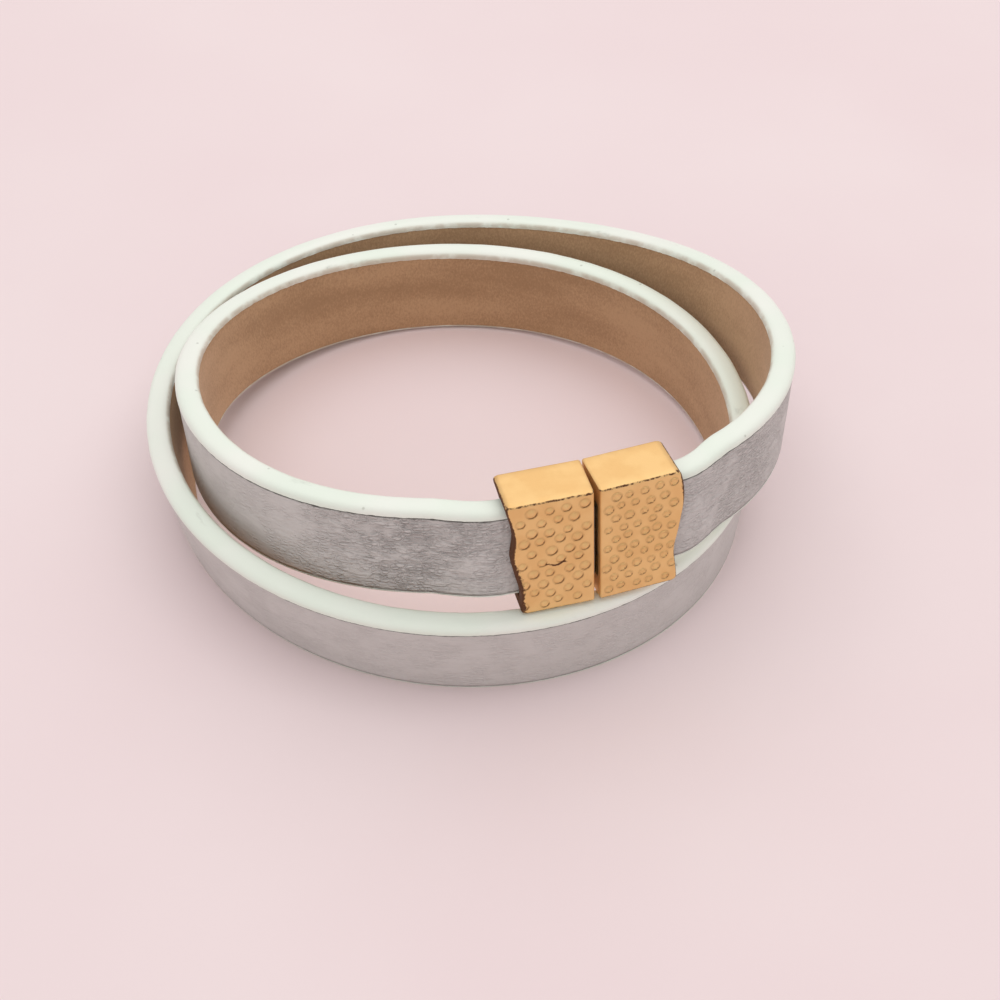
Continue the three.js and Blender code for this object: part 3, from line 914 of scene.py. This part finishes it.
def hammer_tree():
    tree = bpy.data.node_groups.new("hammer_marks", "GeometryNodeTree")
    face = tree.interface
    face.new_socket("Geometry", in_out="INPUT", socket_type="NodeSocketGeometry")
    for name, kind in (
        ("Columns", "Int"), ("Rows", "Int"), ("Pitch", "Float"), ("Row Pitch", "Float"),
        ("Jitter", "Float"), ("Mark Radius", "Float"), ("Dome", "Float"), ("Rim", "Float"),
        ("Nick", "Float"), ("Seed", "Int"), ("Centre", "Vector"), ("Front", "Float"),
        ("Material", "Material"),
    ):
        face.new_socket(name, in_out="INPUT", socket_type=f"NodeSocket{kind}")
    face.new_socket("Geometry", in_out="OUTPUT", socket_type="NodeSocketGeometry")
    source = tree.nodes.new("NodeGroupInput")
    result = tree.nodes.new("NodeGroupOutput")

    def given(name):
        return source.outputs[name]

    def node(kind, settings=None, out=0, **sockets):
        return add_node(tree, kind, settings, sockets).outputs[out]

    def maths(operation, a, b=0.0, c=0.0):
        return node("ShaderNodeMath", {"operation": operation}, i0=a, i1=b, i2=c)

    def vector(operation, a, b=(0, 0, 0), out=0):
        return node("ShaderNodeVectorMath", {"operation": operation}, out=out, i0=a, i1=b)

    def combine(x, y, z):
        return node("ShaderNodeCombineXYZ", X=x, Y=y, Z=z)

    def separate(v, axis):
        return node("ShaderNodeSeparateXYZ", out="XYZ".index(axis), Vector=v)

    def ramp(value, low, high):
        settings = {"interpolation_type": "SMOOTHSTEP"}
        return node("ShaderNodeMapRange", settings, Value=value, From_Min=low, From_Max=high)

    # A flat row of points, numbered, is laid out in staggered rows on the front.
    total = maths("MULTIPLY", given("Columns"), given("Rows"))
    points = node("GeometryNodePoints", Count=total)
    index = node("GeometryNodeInputIndex")
    row = maths("FLOOR", maths("DIVIDE", index, given("Columns")))
    column = maths("SUBTRACT", index, maths("MULTIPLY", row, given("Columns")))
    odd = maths("MODULO", row, 2.0)
    middle_column = maths("MULTIPLY", maths("SUBTRACT", given("Columns"), 1.0), 0.5)
    across = maths("SUBTRACT", column, middle_column)
    across = maths("ADD", across, maths("MULTIPLY_ADD", odd, 0.5, -0.25))
    middle_row = maths("MULTIPLY", maths("SUBTRACT", given("Rows"), 1.0), 0.5)
    upward = maths("SUBTRACT", row, middle_row)
    spread = node(
        "FunctionNodeRandomValue", {"data_type": "FLOAT_VECTOR"},
        Min=(-1, 0, -1), Max=(1, 0, 1), Seed=given("Seed"),
    )
    even_x = maths("MULTIPLY", across, given("Pitch"))
    even_z = maths("MULTIPLY", upward, given("Row Pitch"))
    jitter = combine(given("Jitter"), 0.0, given("Jitter"))
    spot = vector("ADD", combine(even_x, 0.0, even_z), vector("MULTIPLY", spread, jitter))
    spot = vector("ADD", spot, given("Centre"))
    marks = node("GeometryNodeSetPosition", Geometry=points, Position=spot)

    # Each point of the casting finds its nearest mark, and how far away that is as a share of
    # the mark's radius.
    position = node("GeometryNodeInputPosition")
    flat = vector("MULTIPLY", position, (1, 0, 1))
    nearest = node(
        "GeometryNodeSampleNearest", {"domain": "POINT"}, Geometry=marks, Sample_Position=flat
    )
    mark = node(
        "GeometryNodeSampleIndex", {"data_type": "FLOAT_VECTOR", "domain": "POINT"},
        Geometry=marks, Value=position, Index=nearest,
    )
    size = node(
        "FunctionNodeRandomValue", {"data_type": "FLOAT"}, out=1,
        i2=SMALLEST_MARK, i3=LARGEST_MARK, ID=nearest, Seed=MARK_SIZE_SEED,
    )
    away = vector("SUBTRACT", flat, mark)
    radius = maths("MULTIPLY", given("Mark Radius"), size)
    share = maths("DIVIDE", vector("LENGTH", away, out=1), radius)
    direction = vector("NORMALIZE", away)
    below = vector("DOT_PRODUCT", direction, NICK_DIRECTION, out=1)
    under = maths("MULTIPLY_ADD", ramp(below, 0.1, 0.95), 0.8, 0.2)
    facing = node("GeometryNodeInputNormal")
    front_face = ramp(maths("MULTIPLY", separate(facing, "Y"), -1.0), 0.8, 0.98)
    level = maths("LESS_THAN", separate(position, "Y"), given("Front"))
    dome = ramp(share, 1.0, 0.3)
    ring = maths("MULTIPLY", ramp(share, 0.5, 0.75), ramp(share, 1.05, 0.82))
    nick_ring = maths("MULTIPLY", ramp(share, 0.76, 0.98), ramp(share, 1.26, 1.04))
    nick = maths("MULTIPLY", nick_ring, under)
    height = maths("MULTIPLY", dome, given("Dome"))
    height = maths("ADD", height, maths("MULTIPLY", ring, given("Rim")))
    height = maths("SUBTRACT", height, maths("MULTIPLY", nick, given("Nick")))
    height = maths("MULTIPLY", maths("MULTIPLY", height, front_face), level)
    # How far each point lies in a nick is kept for the material, which paints dirt and shade there.
    shade = maths("MULTIPLY", maths("MULTIPLY", nick, front_face), level)
    stored = node(
        "GeometryNodeStoreNamedAttribute", {"data_type": "FLOAT", "domain": "POINT"},
        Geometry=given("Geometry"), Name="hollow", Value=shade,
    )
    forwards = combine(0.0, maths("MULTIPLY", height, -1.0), 0.0)
    moved = node("GeometryNodeSetPosition", Geometry=stored, Offset=forwards)
    final = node("GeometryNodeSetMaterial", Geometry=moved, Material=given("Material"))
    tree.links.new(final, result.inputs["Geometry"])
    return tree


HAMMER = hammer_tree()


def hammered(piece, **sizes):
    modifier = piece.modifiers.new("hammer", "NODES")
    modifier.node_group = HAMMER
    ids = {s.name: s.identifier for s in HAMMER.interface.items_tree if s.in_out == "INPUT"}
    for name, value in sizes.items():
        modifier[ids[name.replace("_", " ")]] = value
    return as_plain_mesh(piece)


# %% [markdown]
# ## Wear on the castings
# The outer ends rub on sleeves and tables, so the plating there is brown and dull, and the long
# front edges are rubbed in a thin line. The left half also has one short wavy scratch below its
# middle. A number on every point says how worn it is, and the material breaks it up into spots.

# %% Wear attribute
FRONT_EDGE = 0.35
WORN_END = {
    "left": dict(least=0.35, more=0.75, at=0.33, spread=0.22, corner=0.35),
    "right": dict(least=0.18, more=0.3, at=0.85, spread=0.2, corner=0.0),
}
WORN_CORNER = 0.12
TOP_LINE = dict(inset=0.12, width=0.14)
LOW_LINE = dict(inset=0.1, width=0.16)
SCRATCH_X, SCRATCH_REACH = -3.5, 1.1
SCRATCH_Z, SCRATCH_WAVE, SCRATCH_WIDTH = -1.0, 0.12, 0.22


def peak(value, at, reach):
    """1 where a value is at a place, and falling evenly to 0 at a reach from it."""
    return np.clip(1 - np.abs(value - at) / reach, 0, 1)


def mark_wear(piece, side):
    mesh = piece.data
    co = np.empty(len(mesh.vertices) * 3, np.float32)
    mesh.vertices.foreach_get("co", co)
    local = co.reshape(-1, 3) / MM
    out = np.abs(local[:, 0])
    share = local[:, 2] / CLASP_HEIGHT + 0.5
    end = HALF_LENGTH[side] + wave_at(side, np.clip(share, 0, 1))
    from_end = end - out
    x, z = local[:, 0], local[:, 2]
    front = local[:, 1] < -CLASP_DEPTH / 2 + FRONT_EDGE
    worn = WORN_END[side]
    reach = worn["least"] + worn["more"] * peak(share, worn["at"], worn["spread"])
    reach = reach + worn["corner"] * (share < WORN_CORNER)
    wear = np.clip(1 - from_end / reach, 0, 1) * 0.9
    top_line = peak(z, CLASP_HEIGHT / 2 - TOP_LINE["inset"], TOP_LINE["width"]) * front
    low_line = peak(z, LOW_LINE["inset"] - CLASP_HEIGHT / 2, LOW_LINE["width"]) * front
    wear = np.maximum(wear, np.maximum(top_line * 0.75, low_line * 0.85))
    if side == "left":
        along_scratch = peak(x, SCRATCH_X, SCRATCH_REACH) ** 0.3
        scratch_z = SCRATCH_Z + SCRATCH_WAVE * np.sin(4 * x)
        wear = np.maximum(wear, along_scratch * peak(z, scratch_z, SCRATCH_WIDTH) * front)
    attribute = mesh.attributes.new("wear", "FLOAT", "POINT")
    attribute.data.foreach_set("value", wear.astype(np.float32))


# %% Both halves
MARKS = {
    "left": dict(
        Columns=4, Rows=10, Pitch=1.6 * MM, Row_Pitch=1.18 * MM, Jitter=0.2 * MM,
        Mark_Radius=0.46 * MM, Dome=0.17 * MM, Rim=0.0, Nick=0.07 * MM, Seed=5,
    ),
    "right": dict(
        Columns=5, Rows=10, Pitch=1.34 * MM, Row_Pitch=1.18 * MM, Jitter=0.17 * MM,
        Mark_Radius=0.4 * MM, Dome=0.0, Rim=0.1 * MM, Nick=0.08 * MM, Seed=9,
    ),
}

CASTING_SHARP = math.radians(38)
FRONT_BAND = 0.05

for side, body in (("right", "clasp_side"), ("left", "wrap")):
    half = hollowed(side)
    sign = 1 if side == "right" else -1
    middle_of_face = Vector((sign * HALF_LENGTH[side] / 2 * MM, 0, 0))
    front_plane = (FRONT_BAND - CLASP_DEPTH / 2) * MM
    hammered(half, Centre=middle_of_face, Front=front_plane, Material=ROSE_GOLD, **MARKS[side])
    mark_wear(half, side)
    origin, axes = HALF_FRAMES[side]
    place = Matrix(axes.T.tolist()).to_4x4()
    place.translation = Vector((origin + SHIFT) * MM)
    half.data.transform(place)
    if not half.data.materials:
        half.data.materials.append(ROSE_GOLD)
    half.data.polygons.foreach_set("use_smooth", [True] * len(half.data.polygons))
    half.data.set_sharp_from_angle(angle=CASTING_SHARP)
    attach(half, body)
    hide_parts(f"{side}_clasp_shell")

# %% [markdown]
# ## Magnets and cement
# The CAD shapes of the magnets and the cement are right as they are, so they stay and only take
# better materials. The magnets show when the clasp opens, and the cement stays hidden in the
# slots.

# %% Materials on the CAD pieces that stay
for side in ("right", "left"):
    for node_name, finish in ((f"{side}_magnet", NICKEL), (f"{side}_strap_glue", GLUE)):
        cad_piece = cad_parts[node_name]
        cad_piece.data.materials.clear()
        cad_piece.data.materials.append(finish)

# %% [markdown]
# ## Table, light and camera
# The bracelet stands on a plain pale pink table. A large soft lamp above and behind, to the
# right, makes the painted edges bright and leaves the front faces in gentle shade, a weak one
# fills the front, and an even pale sky lights the rest.


# %% Table
def table_material():
    material, make, shader = new_material("pale_pink_table")
    place = object_place(make)
    tone = place.noise(18, 3).between(0.3, 0.7)
    color = tone.mix((0.88, 0.735, 0.745, 1), (0.9, 0.77, 0.775, 1))
    feed(shader, Base_Color=color, Roughness=0.75, Normal=place.noise(1800, 3).bump(0.08, 0.05))
    return material


TABLE_HALF = 1.2
table_mesh = bpy.data.meshes.new("table")
corners = [(-TABLE_HALF, -TABLE_HALF, 0), (TABLE_HALF, -TABLE_HALF, 0), (TABLE_HALF, TABLE_HALF, 0)]
table_mesh.from_pydata(corners + [(-TABLE_HALF, TABLE_HALF, 0)], [], [(0, 1, 2, 3)])
table_mesh.materials.append(table_material())
table = placed("table", table_mesh)


# %% Lamps and surroundings
def lamp(name, place, size, power, color):
    light = bpy.data.lights.new(name, "AREA")
    light.shape, light.size, light.energy, light.color = "DISK", size, power, color
    made = placed(name, light)
    made.location = place
    made.rotation_euler = (-Vector(place)).to_track_quat("-Z", "Y").to_euler()


lamp("window", place=(0.1, 0.16, 0.6), size=1.1, power=2.45, color=(1.0, 0.98, 0.97))
lamp("fill", place=(-0.25, -0.5, 0.6), size=0.8, power=0.5, color=(1.0, 0.97, 0.95))
surroundings = bpy.data.worlds.new("soft_room")
surroundings.use_nodes = True
sky = surroundings.node_tree.nodes["Background"]
sky.inputs["Color"].default_value = (0.93, 0.9, 0.9, 1)
sky.inputs["Strength"].default_value = 0.64
bpy.context.scene.world = surroundings

# %% Camera
TARGET = np.array([2.05, -5.25, -0.16])
DISTANCE, AZIMUTH, ELEVATION = 206.5, math.radians(-17.73), math.radians(42.85)
LENS, SENSOR_WIDTH = 72.9, 36
NEAR_CLIP, FAR_CLIP = 0.01, 10
towards = np.array([
    math.sin(AZIMUTH) * math.cos(ELEVATION),
    -math.cos(AZIMUTH) * math.cos(ELEVATION),
    math.sin(ELEVATION),
])
eye = bpy.data.cameras.new("eye")
eye.lens, eye.sensor_width = LENS, SENSOR_WIDTH
eye.clip_start, eye.clip_end = NEAR_CLIP, FAR_CLIP
camera = placed("camera", eye)
camera.location = (TARGET + towards * DISTANCE) * MM
camera.rotation_euler = Vector(-towards).to_track_quat("-Z", "Y").to_euler()
bpy.context.scene.camera = camera
bpy.context.scene.view_settings.view_transform = "Standard"
